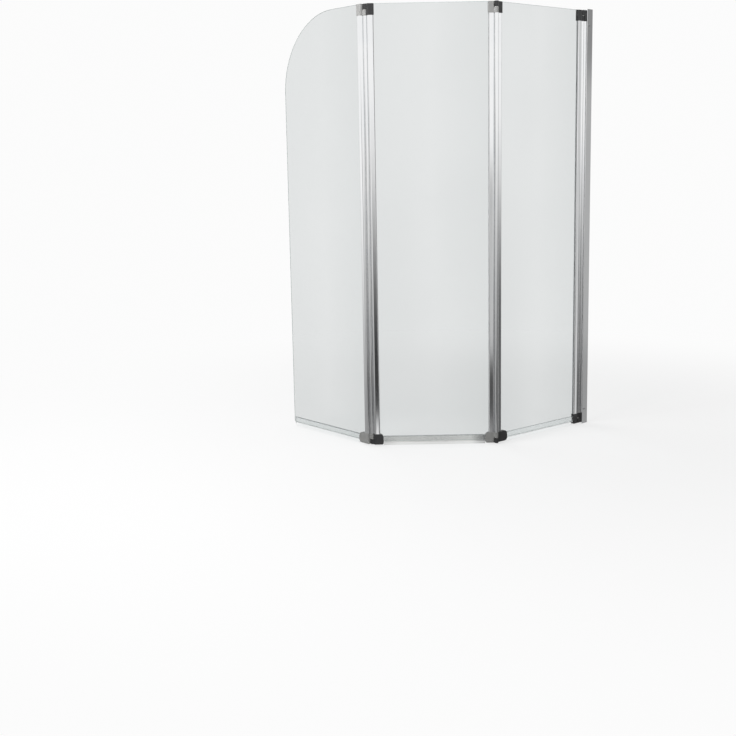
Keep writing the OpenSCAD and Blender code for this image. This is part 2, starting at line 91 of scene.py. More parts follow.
@dataclass(frozen=True)
class ScreenLayout:
    """Places of the panels and hinges at rest. Panels and hinges are numbered from the wall.

    A panel's frame has x along the panel from its first hinge, y to the room side and z up.
    """

    height: float = 1400 * MM
    rim_gap: float = 4 * MM
    pin_to_wall: float = 41 * MM
    pitches: Span = (400 * MM, 403 * MM)
    end_panel_w: float = 398 * MM
    corner_r: float = 250 * MM
    foot_r: float = 6 * MM
    pin_out: float = 7.5 * MM
    turns: Triple = (3.0, 37.6, 47.8)
    stile_w: float = 18 * MM
    glass_t: float = 5 * MM
    glass_grip: float = 6 * MM
    glass_lift: float = 14 * MM
    cap_h: float = 35 * MM
    cap_proud: float = 0.5 * MM
    wall_gap: float = 6.5 * MM
    fold_gap: float = 5 * MM
    port_x: float = 6.9 * MM
    reach_wall: float = 2 * MM
    reach_short: float = 12 * MM
    reach_long: float = 27 * MM
    seal_room: float = 0.3 * MM
    screw_seat: float = 9 * MM

    @property
    def body_top(self) -> float:
        """Height of the tops of the caps and the glass."""
        return self.height - self.rim_gap

    def is_end(self, panel: int) -> bool:
        """Whether a panel is the end panel, which has no second hinge."""
        return panel == len(self.turns)

    def width(self, panel: int) -> float:
        """Distance from a panel's first hinge to its next one, or to the edge of the end panel."""
        return (*self.pitches, self.end_panel_w)[panel - 1]

    def heading(self, panel: int) -> float:
        """Direction of a panel from the line of the rim, in radians, inwards positive."""
        return math.radians(sum(self.turns[:panel]))

    def along(self, panel: int) -> Vector:
        """Unit vector along a panel, away from the wall."""
        a = self.heading(panel)
        return Vector((-math.cos(a), math.sin(a), 0.0))

    def outward(self, panel: int) -> Vector:
        """Unit vector square to a panel, to the room side."""
        a = self.heading(panel)
        return Vector((-math.sin(a), -math.cos(a), 0.0))

    def pin_offset(self, hinge: int) -> float:
        """Offset of a hinge pin from the middle of its panels, to the room side."""
        return {1: 0.0, 2: self.pin_out, 3: -self.pin_out}[hinge]

    def hinge_gap(self, hinge: int) -> float:
        """Distance from a hinge pin to the nose of a stile."""
        return self.wall_gap if hinge == 1 else self.fold_gap

    def pin(self, hinge: int) -> Vector:
        """Finds the axis of a hinge pin.

        Args:
            hinge: The hinge's number.

        Returns:
            The axis's point at the height of the rim.
        """
        if hinge == 1:
            return Vector((-self.pin_to_wall, 0.0, 0.0))
        last = hinge - 1
        panel_end = self.foot(last) + self.width(last) * self.along(last)
        return panel_end + self.pin_offset(hinge) * self.outward(last)

    def foot(self, panel: int) -> Vector:
        """Origin of a panel's frame."""
        return self.pin(panel) - self.pin_offset(panel) * self.outward(panel)

    def panel_matrix(self, panel: int) -> Matrix:
        """Turns a panel's frame into the frame of the object."""
        turn = Matrix.Rotation(math.pi - self.heading(panel), 4, "Z")
        return Matrix.Translation(self.foot(panel)) @ turn

    def bottom_reach(self, panel: int, hinge: int) -> float:
        """Distance that a panel's bottom cap at one of its hinges reaches over the glass."""
        fold_reach = self.reach_short if panel == 2 else self.reach_long
        return self.reach_wall if hinge == 1 else fold_reach

    def cap_end(self, panel: int, hinge: int) -> float:
        """Distance from a hinge to the tip of a panel's bottom cap."""
        return self.hinge_gap(hinge) + self.stile_w + self.cap_proud + self.bottom_reach(panel, hinge)

    def glass_start(self, hinge: int) -> float:
        """Distance from a hinge to the edge of the glass inside the stile."""
        return self.hinge_gap(hinge) + self.stile_w - self.glass_grip

    def seal_start(self, panel: int, hinge: int) -> float:
        """Distance from a hinge to the end of a panel's bottom seal."""
        return self.cap_end(panel, hinge) + self.seal_room

    def port_start(self, hinge: int) -> float:
        """Distance from a hinge to the screw port of a stile."""
        return self.hinge_gap(hinge) + self.port_x

    def glass_run(self, panel: int) -> Span:
        """Distances from a panel's first hinge to the near and far edge of its glass."""
        far = 0.0 if self.is_end(panel) else self.glass_start(panel + 1)
        return self.glass_start(panel), self.width(panel) - far

    def seal_run(self, panel: int) -> Span:
        """Distances from a panel's first hinge to the near and far end of its bottom seal."""
        far = self.foot_r if self.is_end(panel) else self.seal_start(panel, panel + 1)
        return self.seal_start(panel, panel), self.width(panel) - far

    def port_runs(self, panel: int) -> list[float]:
        """Distances from a panel's first hinge to the screw port of each of its stiles."""
        far = [] if self.is_end(panel) else [self.width(panel) - self.port_start(panel + 1)]
        return [self.port_start(panel), *far]

    def cap_screw_places(self, port: Vector) -> list[Aimed]:
        """Finds the bottom and the top cap screw of one stile.

        Args:
            port: The stile's screw port, at the height of the rim.

        Returns:
            The underside of each head and the direction that it faces.
        """
        low = self.rim_gap + self.cap_h - self.screw_seat
        high = self.body_top - self.cap_h + self.screw_seat
        return [
            (Vector((port.x, port.y, low)), Vector((0.0, 0.0, -1.0))),
            (Vector((port.x, port.y, high)), Vector((0.0, 0.0, 1.0))),
        ]


# ---------- mesh helpers ----------


def new_piece(name: str, mesh: bpy.types.Mesh) -> bpy.types.Object:
    """Puts a finished mesh into the scene as an object at the origin.

    Args:
        name: The piece's name.
        mesh: Its mesh, with its place in its vertices.

    Returns:
        The new object.
    """
    piece = bpy.data.objects.new(name, mesh)
    bpy.context.scene.collection.objects.link(piece)
    return piece


def mount_mesh(mesh: bpy.types.Mesh, body: Body, slot: Slot, *nodes: str) -> None:
    """Makes a finished mesh a piece that rides on its body, in place of its CAD nodes.

    Args:
        mesh: The mesh, under the piece's name.
        body: The body that it moves with.
        slot: The record's slot of the piece; not used.
        nodes: The CAD nodes that it stands for.
    """
    piece = new_piece(mesh.name, mesh)
    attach(piece, body.value)
    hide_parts(*nodes)
    faces = len(mesh.polygons)
    log.info("%s: %d faces on %s, for %s", piece.name, faces, body.value, ", ".join(nodes))


def arc(centre: Point, radius: float, start: float, end: float, steps: int) -> list[Point]:
    """Points on a circle from one angle in degrees to another, in even steps with both ends."""
    angles = [math.radians(start + (end - start) * i / steps) for i in range(steps + 1)]
    return [(centre[0] + radius * math.cos(a), centre[1] + radius * math.sin(a)) for a in angles]


def inset(outline: list[Point], depth: float, least_cosine: float = 0.5) -> list[Point]:
    """Moves each side of a convex outline, listed anticlockwise, inwards.

    Args:
        outline: The outline's points.
        depth: How far the sides move.
        least_cosine: Bound on the mitre of a sharp corner, as the cosine of half its turn.

    Returns:
        The points of the smaller outline.
    """
    moved = []
    count = len(outline)
    for i, (x, y) in enumerate(outline):
        before = Vector((x - outline[i - 1][0], y - outline[i - 1][1])).normalized()
        after = Vector((outline[(i + 1) % count][0] - x, outline[(i + 1) % count][1] - y)).normalized()
        tangent = (before + after).normalized()
        normal = Vector((-tangent.y, tangent.x))
        spread = depth / max(least_cosine, normal.dot(Vector((-before.y, before.x))))
        moved.append((x + normal.x * spread, y + normal.y * spread))
    return moved


def close_rings(bm: bmesh.types.BMesh, rings: list[list[bmesh.types.BMVert]]) -> tuple[Faces, Faces]:
    """Joins rings of vertices by bands and closes the first and last by a face.

    Args:
        bm: The mesh under work.
        rings: The rings, all with the same number of vertices.

    Returns:
        The faces of the bands and the two end faces.
    """
    bands = []
    for low, high in zip(rings, rings[1:]):
        for i in range(len(low)):
            j = (i + 1) % len(low)
            bands.append(bm.faces.new((low[i], low[j], high[j], high[i])))
    ends = [bm.faces.new(list(reversed(rings[0]))), bm.faces.new(rings[-1])]
    return bands, ends


def map_run(bm: bmesh.types.BMesh, name: str, run: Span, height: float) -> None:
    """Maps a mesh in its panel's frame by its run along the panel and its height, each as a share.

    Args:
        bm: The mesh under work.
        name: The map's name.
        run: Where the run starts and ends.
        height: The height that counts as 1.
    """
    start, end = run
    layer = bm.loops.layers.uv.new(name)
    for face in bm.faces:
        for loop in face.loops:
            place = loop.vert.co
            loop[layer].uv = ((place.x - start) / (end - start), place.z / height)


def finish_mesh(
    bm: bmesh.types.BMesh, name: str, place: Matrix, sharp: float, *materials: bpy.types.Material
) -> bpy.types.Mesh:
    """Places a closed mesh, turns its faces outwards and dresses it.

    Args:
        bm: The mesh under work, which is freed.
        name: Its name.
        place: Its place.
        sharp: Angle in degrees past which an edge is sharp.
        materials: Its finishes, by slot.

    Returns:
        The finished mesh.
    """
    bm.transform(place)
    bmesh.ops.recalc_face_normals(bm, faces=bm.faces)
    if bm.calc_volume(signed=True) < 0:
        bmesh.ops.reverse_faces(bm, faces=bm.faces)
    mesh = bpy.data.meshes.new(name)
    bm.to_mesh(mesh)
    bm.free()
    mesh.set_sharp_from_angle(angle=math.radians(sharp))
    for material in materials:
        mesh.materials.append(material)
    return mesh


# ---------- shader node groups ----------


class NodeTree:
    """A node tree under work, with short ways to add and join nodes."""

    def __init__(self, tree: bpy.types.NodeTree) -> None:
        """Empties the tree."""
        self.tree = tree
        tree.nodes.clear()

    def add(
        self, kind: str, settings: dict[str, object] | None = None, **inputs: object
    ) -> bpy.types.Node:
        """Adds a node.

        Args:
            kind: Its type.
            settings: Its properties.
            inputs: A value or a source socket for each input. The input goes by its name, with _ for a
                space, or by in_ and its number.

        Returns:
            The node.
        """
        node = self.tree.nodes.new(kind)
        for name, value in (settings or {}).items():
            setattr(node, name, value)
        for name, value in inputs.items():
            key = int(name.removeprefix("in_")) if name.startswith("in_") else name.replace("_", " ")
            if isinstance(value, Socket):
                self.tree.links.new(value, node.inputs[key])
            else:
                node.inputs[key].default_value = value
        return node

    def gather(self, node: bpy.types.Node, name: str, *sources: Socket) -> None:
        """Joins sources to the named input of a node, which takes several."""
        for source in sources:
            self.tree.links.new(source, node.inputs[name])

    def group(self, tree: bpy.types.NodeTree, **inputs: object) -> bpy.types.Node:
        """Adds a shared group, with a value or a source socket for each of its inputs."""
        return self.add("ShaderNodeGroup", {"node_tree": tree}, **inputs)

    def math(self, operation: str, *values: object) -> Socket:
        """Adds a Math node and returns its value."""
        inputs = {f"in_{index}": value for index, value in enumerate(values)}
        return self.add("ShaderNodeMath", {"operation": operation}, **inputs).outputs[0]

    def ramp(self, value: Socket, low: float, high: float, to_low: float, to_high: float) -> Socket:
        """Adds a smooth Map Range node from one pair of limits to the other, and returns its result."""
        node = self.add(
            "ShaderNodeMapRange",
            {"interpolation_type": "SMOOTHSTEP"},
            Value=value,
            From_Min=low,
            From_Max=high,
            To_Min=to_low,
            To_Max=to_high,
        )
        return node.outputs["Result"]

    def mix(self, factor: object, a: object, b: object) -> Socket:
        """Adds a colour Mix node, whose colours are inputs 6 and 7, and returns output 2, its colour."""
        node = self.add("ShaderNodeMix", {"data_type": "RGBA"}, in_0=factor, in_6=a, in_7=b)
        return node.outputs[2]


def new_group(kind: str, name: str, inputs: SocketNames, outputs: SocketNames) -> bpy.types.NodeTree:
    """Makes a node group with named sockets.

    Args:
        kind: Whether it is for shaders or for geometry.
        name: The group's name.
        inputs: The names of its inputs by kind.
        outputs: The names of its outputs by kind.

    Returns:
        The group's tree, empty but for its interface.
    """
    tree = bpy.data.node_groups.new(name, f"{kind}NodeTree")
    for side, sockets in (("INPUT", inputs), ("OUTPUT", outputs)):
        for data, names in sockets.items():
            for socket in names:
                tree.interface.new_socket(name=socket, in_out=side, socket_type=f"NodeSocket{data}")
    return tree


class SharedGroups:
    """The shader node groups that several finishes use, each built once."""

    GRAIN_REACH: Span = (0.3, 0.7)
    DRIFT_REACH: Span = (0.35, 0.65)
    DRIFT_DETAIL: float = 3.0

    def __init__(self) -> None:
        """Builds the groups."""
        self.grain = self._grain()
        self.drift = self._drift()
        self.shade_fall = self._shade_fall()

    def _grain(self) -> bpy.types.NodeTree:
        """Makes the group of stretched noise.

        Returns:
            A group that gives the noise as a value between two limits, and as a height for bumps.
        """
        tree = new_group(
            "Shader",
            "stretched_grain",
            {"Vector": ("Coordinates", "Stretch"), "Float": ("Scale", "Detail", "Low", "High")},
            {"Float": ("Value", "Height")},
        )
        nodes = NodeTree(tree)
        given = nodes.add("NodeGroupInput").outputs
        place, stretch = given["Coordinates"], given["Stretch"]
        spread = nodes.add("ShaderNodeVectorMath", {"operation": "MULTIPLY"}, in_0=place, in_1=stretch)
        noise = nodes.add(
            "ShaderNodeTexNoise", Vector=spread.outputs[0], Scale=given["Scale"], Detail=given["Detail"]
        )
        ranged = nodes.add(
            "ShaderNodeMapRange",
            Value=noise.outputs["Fac"],
            From_Min=self.GRAIN_REACH[0],
            From_Max=self.GRAIN_REACH[1],
            To_Min=given["Low"],
            To_Max=given["High"],
        )
        nodes.add("NodeGroupOutput", Value=ranged.outputs["Result"], Height=noise.outputs["Fac"])
        return tree

    def _drift(self) -> bpy.types.NodeTree:
        """Makes the group of drifting tone.

        Returns:
            A group that changes slowly from one colour to another over a surface.
        """
        tree = new_group(
            "Shader",
            "tone_drift",
            {"Vector": ("Coordinates",), "Float": ("Scale", "Amount"), "Color": ("Tone", "Other Tone")},
            {"Color": ("Color",)},
        )
        nodes = NodeTree(tree)
        given = nodes.add("NodeGroupInput").outputs
        place, scale = given["Coordinates"], given["Scale"]
        noise = nodes.add("ShaderNodeTexNoise", Vector=place, Scale=scale, Detail=self.DRIFT_DETAIL)
        spread = nodes.ramp(noise.outputs["Fac"], *self.DRIFT_REACH, 0.0, 1.0)
        share = nodes.math("MULTIPLY", spread, given["Amount"])
        colour = nodes.mix(share, given["Tone"], given["Other Tone"])
        nodes.add("NodeGroupOutput", Color=colour)
        return tree

    def _shade_fall(self) -> bpy.types.NodeTree:
        """Makes the group of the end mask, which places the painted shade at the ends of clear pieces.

        Returns:
            A group whose mask falls to 0 with the distance from the two ends of a run from 0 to 1.
        """
        inputs = {"Float": ("Run", "Width", "Start", "End")}
        tree = new_group("Shader", "end_shade_fall", inputs, {"Float": ("Mask",)})
        nodes = NodeTree(tree)
        given = nodes.add("NodeGroupInput").outputs
        near = nodes.math("SUBTRACT", 1.0, nodes.math("DIVIDE", given["Run"], given["Width"]))
        rest = nodes.math("SUBTRACT", 1.0, given["Run"])
        far = nodes.math("SUBTRACT", 1.0, nodes.math("DIVIDE", rest, given["Width"]))
        near = nodes.math("MULTIPLY", nodes.math("MAXIMUM", near, 0.0), given["Start"])
        far = nodes.math("MULTIPLY", nodes.math("MAXIMUM", far, 0.0), given["End"])
        nodes.add("NodeGroupOutput", Mask=nodes.math("MAXIMUM", near, far))
        return tree


# ---------- finishes ----------


@dataclass(frozen=True)
class Finish:
    """A finish for one kind of material: a tone that drifts, under a grain that catches the light."""

    name: str
    groups: SharedGroups = field(repr=False)
    tone: Colour
    drift_scale: float
    drift_amount: float
    grain_scale: float
    grain_depth: float
    grain_stretch: Triple = (1.0, 1.0, 1.0)
    grain_detail: float = 2.0
    grain_step: float = 0.05 * MM

    def start(self) -> tuple[bpy.types.Material, NodeTree, Socket]:
        """Makes an empty material.

        Returns:
            The material, its nodes and the object coordinates.
        """
        material = bpy.data.materials.new(self.name)
        material.use_nodes = True
        nodes = NodeTree(material.node_tree)
        return material, nodes, nodes.add("ShaderNodeTexCoord").outputs["Object"]

    def drift(self, nodes: NodeTree, place: Socket, other: Colour) -> Socket:
        """Adds the drift from the finish's tone to another, and returns the colour."""
        drift = nodes.group(
            self.groups.drift,
            Coordinates=place,
            Scale=self.drift_scale,
            Amount=self.drift_amount,
            Tone=self.tone,
            Other_Tone=other,
        )
        return drift.outputs["Color"]

    def grain(self, nodes: NodeTree, place: Socket, limits: Span = (0.0, 1.0)) -> tuple[Socket, Socket]:
        """Adds the finish's grain.

        Args:
            nodes: The material's nodes.
            place: The object coordinates.
            limits: The limits of the grain's value.

        Returns:
            The grain's value, and the normal that it gives the surface.
        """
        grain = nodes.group(
            self.groups.grain,
            Coordinates=place,
            Stretch=self.grain_stretch,
            Scale=self.grain_scale,
            Detail=self.grain_detail,
            Low=limits[0],
            High=limits[1],
        )
        bump = nodes.add(
            "ShaderNodeBump",
            Strength=self.grain_depth,
            Distance=self.grain_step,
            Height=grain.outputs["Height"],
        )
        return grain.outputs["Value"], bump.outputs["Normal"]

    def build(self) -> bpy.types.Material:
        """Makes the material."""
        raise NotImplementedError


@dataclass(frozen=True)
class SolidFinish(Finish):
    """Moulded plastic or rubber with a fine grain, which turns towards its top tone with height if it
    has one.
    """

    tone: Colour = (0.016, 0.016, 0.017, 1.0)
    other_tone: Colour = (0.024, 0.024, 0.025, 1.0)
    drift_scale: float = 60.0
    drift_amount: float = 0.7
    metallic: float = 0.0
    roughness: Span = (0.3, 0.42)
    grain_scale: float = 1400.0
    grain_depth: float = 0.15
    coat: float = 0.0
    coat_roughness: float = 0.12
    top_tone: Colour | None = None
    top_tone_heights: Span = (0.3, 1.3)

    def build(self) -> bpy.types.Material:
        """Makes the plastic, rubber or metal.

        Returns:
            The material.
        """
        material, nodes, place = self.start()
        colour = self.drift(nodes, place, self.other_tone)
        # The tone turns towards the top tone with height, where one is given.
        if self.top_tone:
            height = nodes.add("ShaderNodeSeparateXYZ", Vector=place).outputs["Z"]
            upward = nodes.ramp(height, *self.top_tone_heights, 0.0, 1.0)
            colour = nodes.mix(upward, colour, self.top_tone)
        roughness, normal = self.grain(nodes, place, self.roughness)
        shader = nodes.add(
            "ShaderNodeBsdfPrincipled",
            Base_Color=colour,
            Roughness=roughness,
            Metallic=self.metallic,
            Coat_Weight=self.coat,
            Coat_Roughness=self.coat_roughness,
            Normal=normal,
        )
        nodes.add("ShaderNodeOutputMaterial", Surface=shader.outputs[0])
        return material


@dataclass(frozen=True)
class MetalFinish(SolidFinish):
    """Bare metal with fine lines along its length and a slight drift of tone."""

    tone: Colour = (0.88, 0.885, 0.89, 1.0)
    other_tone: Colour = (0.85, 0.86, 0.87, 1.0)
    drift_scale: float = 9.0
    drift_amount: float = 0.8
    metallic: float = 1.0
    roughness: Span = (0.05, 0.08)
    grain_scale: float = 700.0
    grain_depth: float = 0.01
    grain_stretch: Triple = (1.0, 1.0, 0.006)


@dataclass(frozen=True)
class ClearFinish(Finish):
    """Glass or clear plastic. Its grain is a slow wave, and a painted shade darkens its tone towards its
    ends.

    Lamps and soft light pass through it, so that it throws only a faint shade. If it has a tone for the
    rim, it takes that on over the rim's span of the piece's height: a painted shade line along the
    seal's top.
    """

    tone: Colour = (0.80, 0.815, 0.815, 1.0)
    # Painted shade: the darker tone that the piece takes on towards its ends.
    end_shade_tone: Colour = (0.74, 0.76, 0.76, 1.0)
    end_shade_width: float = 0.5
    first_end_shade: float = 1.0
    far_end_shade: float = 0.35
    drift_scale: float = 3.0
    drift_amount: float = 0.25
    roughness: float = 0.0
    ior: float = 1.46
    shade: Colour = (0.9, 0.92, 0.92, 1.0)
    grain_scale: float = 5.0
    grain_depth: float = 0.01
    grain_stretch: Triple = (1.0, 1.0, 0.4)
    grain_detail: float = 1.0
    grain_step: float = 1.0 * MM
    rim: Span = (1.0, 1.0)
    # Painted shade: the tone of the dark line along the top of a seal.
    rim_shade_tone: Colour | None = None

    def build(self) -> bpy.types.Material:
        """Makes the glass or clear plastic.

        Returns:
            The material.
        """
        material, nodes, place = self.start()
        run = nodes.add("ShaderNodeSeparateXYZ", Vector=nodes.add("ShaderNodeTexCoord").outputs["UV"])
        # Painted shade: the end mask is 1 at the piece's ends, beside the stiles and caps, and falls
        # inwards.
        ends = nodes.group(
            self.groups.shade_fall,
            Run=run.outputs["X"],
            Width=self.end_shade_width,
            Start=self.first_end_shade,
            End=self.far_end_shade,
        )
        colour = self.drift(nodes, place, self.end_shade_tone)
        # The painted shade darkens the tone towards the ends.
        colour = nodes.mix(ends.outputs["Mask"], colour, self.end_shade_tone)
        # Painted shade: a dark line along the tops of the seal's beads.
        if self.rim_shade_tone:
            rim = nodes.ramp(run.outputs["Y"], *self.rim, 0.0, 1.0)
            colour = nodes.mix(rim, colour, self.rim_shade_tone)
        _, normal = self.grain(nodes, place)
        shader = nodes.add(
            "ShaderNodeBsdfPrincipled",
            Base_Color=colour,
            Roughness=self.roughness,
            IOR=self.ior,
            Transmission_Weight=1.0,
            Normal=normal,
        )
        clear = nodes.add("ShaderNodeBsdfTransparent", Color=self.shade)
        rays = nodes.add("ShaderNodeLightPath").outputs
        soft = nodes.math("MAXIMUM", rays["Is Shadow Ray"], rays["Is Diffuse Ray"])
        both = nodes.add("ShaderNodeMixShader", in_0=soft, in_1=shader.outputs[0], in_2=clear.outputs[0])
        nodes.add("ShaderNodeOutputMaterial", Surface=both.outputs[0])
        return material


class Finishes:
    """All finishes as materials by slot, each panel's seal, two of them lit and shaded copies, and the
    glass's edge.
    """

    def __init__(self) -> None:
        """Builds the materials."""
        groups = SharedGroups()
        seal = ClearFinish(
            "clear_seal_finish",
            groups,
            tone=(0.97, 0.98, 0.98, 1.0),
            end_shade_tone=(0.94, 0.95, 0.95, 1.0),
            roughness=0.04,
            ior=1.4,
            shade=(0.82, 0.84, 0.84, 1.0),
            grain_depth=0.1,
            grain_scale=60.0,
            rim=(0.83, 0.87),
            # Painted shade: the dark line along the tops of the beads.
            rim_shade_tone=(0.62, 0.64, 0.64, 1.0),
        )
        plans: dict[Slot, Finish] = {
            Slot.ALUMINIUM: MetalFinish("polished_aluminium_finish", groups),
            Slot.ROD: MetalFinish(
                "drawn_steel_finish",
                groups,
                tone=(0.62, 0.61, 0.6, 1.0),
                other_tone=(0.52, 0.52, 0.52, 1.0),
                roughness=(0.18, 0.3),
                grain_depth=0.05,
            ),
            Slot.SCREW: MetalFinish(
                "turned_steel_finish",
                groups,
                tone=(0.42, 0.42, 0.43, 1.0),
                other_tone=(0.34, 0.34, 0.35, 1.0),
                roughness=(0.2, 0.34),
                grain_stretch=(1.0, 1.0, 1.0),
                grain_scale=2500.0,
                grain_depth=0.05,
            ),
            Slot.MOULDING: SolidFinish("moulded_cap_finish", groups, coat=0.25),
            Slot.GREY_MOULDING: SolidFinish(
                "grey_cap_finish",
                groups,
                tone=(0.17, 0.17, 0.165, 1.0),
                other_tone=(0.2, 0.2, 0.195, 1.0),
                coat=0.25,
                # The grey caps turn lighter towards the top of the screen.
                top_tone=(0.3, 0.3, 0.295, 1.0),
            ),
            Slot.NYLON: SolidFinish(
                "nylon_bush_finish",
                groups,
                tone=(0.78, 0.77, 0.73, 1.0),
                other_tone=(0.72, 0.71, 0.67, 1.0),
                roughness=(0.38, 0.5),
            ),
            Slot.RUBBER: SolidFinish(
                "gasket_rubber_finish",
                groups,
                tone=(0.4, 0.402, 0.406, 1.0),
                other_tone=(0.46, 0.462, 0.468, 1.0),
                roughness=(0.55, 0.75),
                grain_depth=0.3,
            ),
            Slot.SEAL: seal,
            # The panes take the painted shade beside the stiles, darkest by the first hinge.
            Slot.GLASS: ClearFinish("pane_finish", groups),
        }
        self.by_slot = {slot: finish.build() for slot, finish in plans.items()}
        # Painted light: the wall panel's seal is a lighter copy, whose painted shade line along its top
        # is faint.
        lit_copy_seal = replace(seal, name="fresh_seal_finish", rim_shade_tone=(0.84, 0.86, 0.86, 1.0))
        # Painted shade: the middle panel's seal is a darker copy, with a painted shadow at its ends.
        shaded_copy_seal = replace(
            seal,
            name="dull_seal_finish",
            tone=(0.88, 0.88, 0.87, 1.0),
            # Painted shadow: the dark end tone, darkest by the cap of the panel's first hinge.
            end_shade_tone=(0.5, 0.5, 0.5, 1.0),
            end_shade_width=0.14,
        )
        self.seals: dict[int, bpy.types.Material] = {
            1: lit_copy_seal.build(),
            2: shaded_copy_seal.build(),
            3: self.by_slot[Slot.SEAL],
        }
        # The glass's edge also darkens towards its ends, a painted shade by the stiles.
        self.glass_edge = ClearFinish(
            "arrissed_edge_finish",
            groups,
            tone=(0.52, 0.66, 0.62, 1.0),
            end_shade_tone=(0.46, 0.6, 0.56, 1.0),
            roughness=0.18,
            grain_depth=0.3,
            grain_scale=900.0,
            grain_stretch=(1.0, 1.0, 1.0),
        ).build()

    def dress_nodes(self) -> None:
        """Gives every CAD node the finish of its slot."""
        for name, node in sorted(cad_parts.items()):
            for index, slot in enumerate(node.material_slots):
                node.material_slots[index].material = self.by_slot[Slot(slot.material.name)]
            log.info("%s: dressed", name)


# ---------- glass ----------


@dataclass
class GlassPane:
    """One pane of toughened glass with arrissed edges."""

    layout: ScreenLayout
    panel: int
    body: Body
    arris: float = 0.6 * MM
    foot_steps: int = 10
    corner_steps: int = 96
    edge_index: int = 1
    sharp_angle: float = 30.0

    def outline(self) -> list[Point]:
        """Draws the pane, which has a round top corner and foot on the end panel.

        Returns:
            The outline in the panel's frame, anticlockwise in x and height.
        """
        start, end = self.layout.glass_run(self.panel)
        low, high = self.layout.glass_lift, self.layout.body_top
        if not self.layout.is_end(self.panel):
            return [(start, low), (end, low), (end, high), (start, high)]
        foot_r, corner_r = self.layout.foot_r, self.layout.corner_r
        foot = arc((end - foot_r, low + foot_r), foot_r, -90, 0, self.foot_steps)
        corner = arc((end - corner_r, high - corner_r), corner_r, 0, 90, self.corner_steps)
        return [(start, low), *foot, *corner, (start, high)]

    def build(self, finishes: Finishes) -> None:
        """Makes the pane and puts it in place of its CAD node.

        Args:
            finishes: The finishes of the screen.
        """
        full = self.outline()
        small = inset(full, self.arris)
        half = self.layout.glass_t / 2
        bm = bmesh.new()
        layers = ((small, half), (full, half - self.arris), (full, self.arris - half), (small, -half))
        rings = [[bm.verts.new((x, y, z)) for x, z in points] for points, y in layers]
        for band in close_rings(bm, rings)[0]:
            band.material_index = self.edge_index
            band.smooth = self.layout.is_end(self.panel)
        map_run(bm, "pane", self.layout.glass_run(self.panel), self.layout.height)
        mesh = finish_mesh(
            bm,
            f"glass_pane_{self.panel}",
            self.layout.panel_matrix(self.panel),
            self.sharp_angle,
            finishes.by_slot[Slot.GLASS],
            finishes.glass_edge,
        )
        mount_mesh(mesh, self.body, Slot.GLASS, f"glass_{self.panel}")


# ---------- seals ----------


@dataclass
class BottomSeal:
    """Clear seal on the bottom edge of a pane, with a wiping fin and a drip rail over the bath."""

    layout: ScreenLayout
    panel: int
    body: Body
    glass_room: float = 0.1 * MM
    wall: float = 1.2 * MM
    grip: float = 18 * MM
    bead_r: float = 0.9 * MM
    skirt: float = 12.5 * MM
    fin_bend: float = 2.5 * MM
    drip_reach: float = 5.5 * MM
    drip_drop: float = 6 * MM
    rows: int = 12
    bead_steps: int = 14
    drip_steps: int = 8
    fin_steps: int = 8
    tip_steps: int = 6
    sharp_angle: float = 40.0

    def section(self) -> list[Point]:
        """Draws the seal across: two beaded legs, a web, a bent fin and a drip rail.

        Returns:
            The outline, anticlockwise, with the middle of the glass's edge at the origin.
        """
        glass_half = self.layout.glass_t / 2
        inner, outer = glass_half + self.glass_room, glass_half + self.wall
        bead_x, bead_z = glass_half + self.bead_r, self.grip - self.bead_r
        radius = self.bead_r - self.glass_room / 2
        tip = self.wall / 2
        fin_x, fin_z = self.fin_bend, -self.skirt + tip / 2
        rail_x, rail_z = -outer - self.drip_reach + tip, -self.drip_drop - tip
        points = [(outer, -self.wall), (outer, bead_z - self.bead_r)]
        points += arc((bead_x, bead_z), radius, -40, 180, self.bead_steps)
        points += [(inner, -self.glass_room), (-inner, -self.glass_room)]
        points += arc((-bead_x, bead_z), radius, 0, 220, self.bead_steps)
        points += [(-outer, bead_z - self.bead_r), (-outer, 0.0)]
        points += arc((rail_x, rail_z), tip, 135, 315, self.drip_steps)
        points += [(-outer, -self.wall), (-tip, -self.wall)]
        points += self._fin_side(-tip, fin_x - tip / 2, fin_z)
        points += arc((fin_x, fin_z), tip / 2, 180, 360, self.tip_steps)
        points += reversed(self._fin_side(tip, fin_x + tip / 2, fin_z))
        points.append((tip, -self.wall))
        return points

    def _fin_side(self, root: float, tip: float, low: float) -> list[Point]:
        """Draws one side of the fin, which leaves the web square and bends to the room side.

        Args:
            root: Where the side leaves the web.
            tip: Where it meets the fin's tip.
            low: Height of the tip.

        Returns:
            The points between the web and the tip, from the top.
        """
        side = []
        for i in range(1, self.fin_steps):
            t = i / self.fin_steps
            side.append((root + (tip - root) * t * t, -self.wall + (low + self.wall) * t))
        return side

    def build(self, finishes: Finishes) -> None:
        """Makes the seal and puts it in place of its CAD node.

        Args:
            finishes: The finishes of the screen.
        """
        start, end = self.layout.seal_run(self.panel)
        outline = self.section()
        bm = bmesh.new()
        rings = []
        for row in range(self.rows + 1):
            x = start + (end - start) * row / self.rows
            rings.append([bm.verts.new((x, y, self.layout.glass_lift + z)) for y, z in outline])
        bands, ends = close_rings(bm, rings)
        map_run(bm, "seal", (start, end), self.layout.cap_h)
        for face in bands:
            face.smooth = True
        bmesh.ops.triangulate(bm, faces=ends)
        place = self.layout.panel_matrix(self.panel)
        finish = finishes.seals[self.panel]
        mesh = finish_mesh(bm, f"drip_seal_{self.panel}", place, self.sharp_angle, finish)
        mount_mesh(mesh, self.body, Slot.SEAL, f"bottom_seal_{self.panel}")


# ---------- screws ----------


@dataclass(frozen=True)
class ScrewSize:
    """Sizes of a cross-head screw, which are the inputs of its geometry nodes."""

    head_radius: float
    head_height: float
    shank_radius: float
    shank_length: float
    cross_width: float
    cross_depth: float


CAP_SCREW = ScrewSize(3.1 * MM, 2.2 * MM, 1.6 * MM, 25 * MM, 0.8 * MM, 1.3 * MM)
LOCK_SCREW = ScrewSize(3.6 * MM, 2.2 * MM, 2 * MM, 7 * MM, 1.4 * MM, 1.6 * MM)


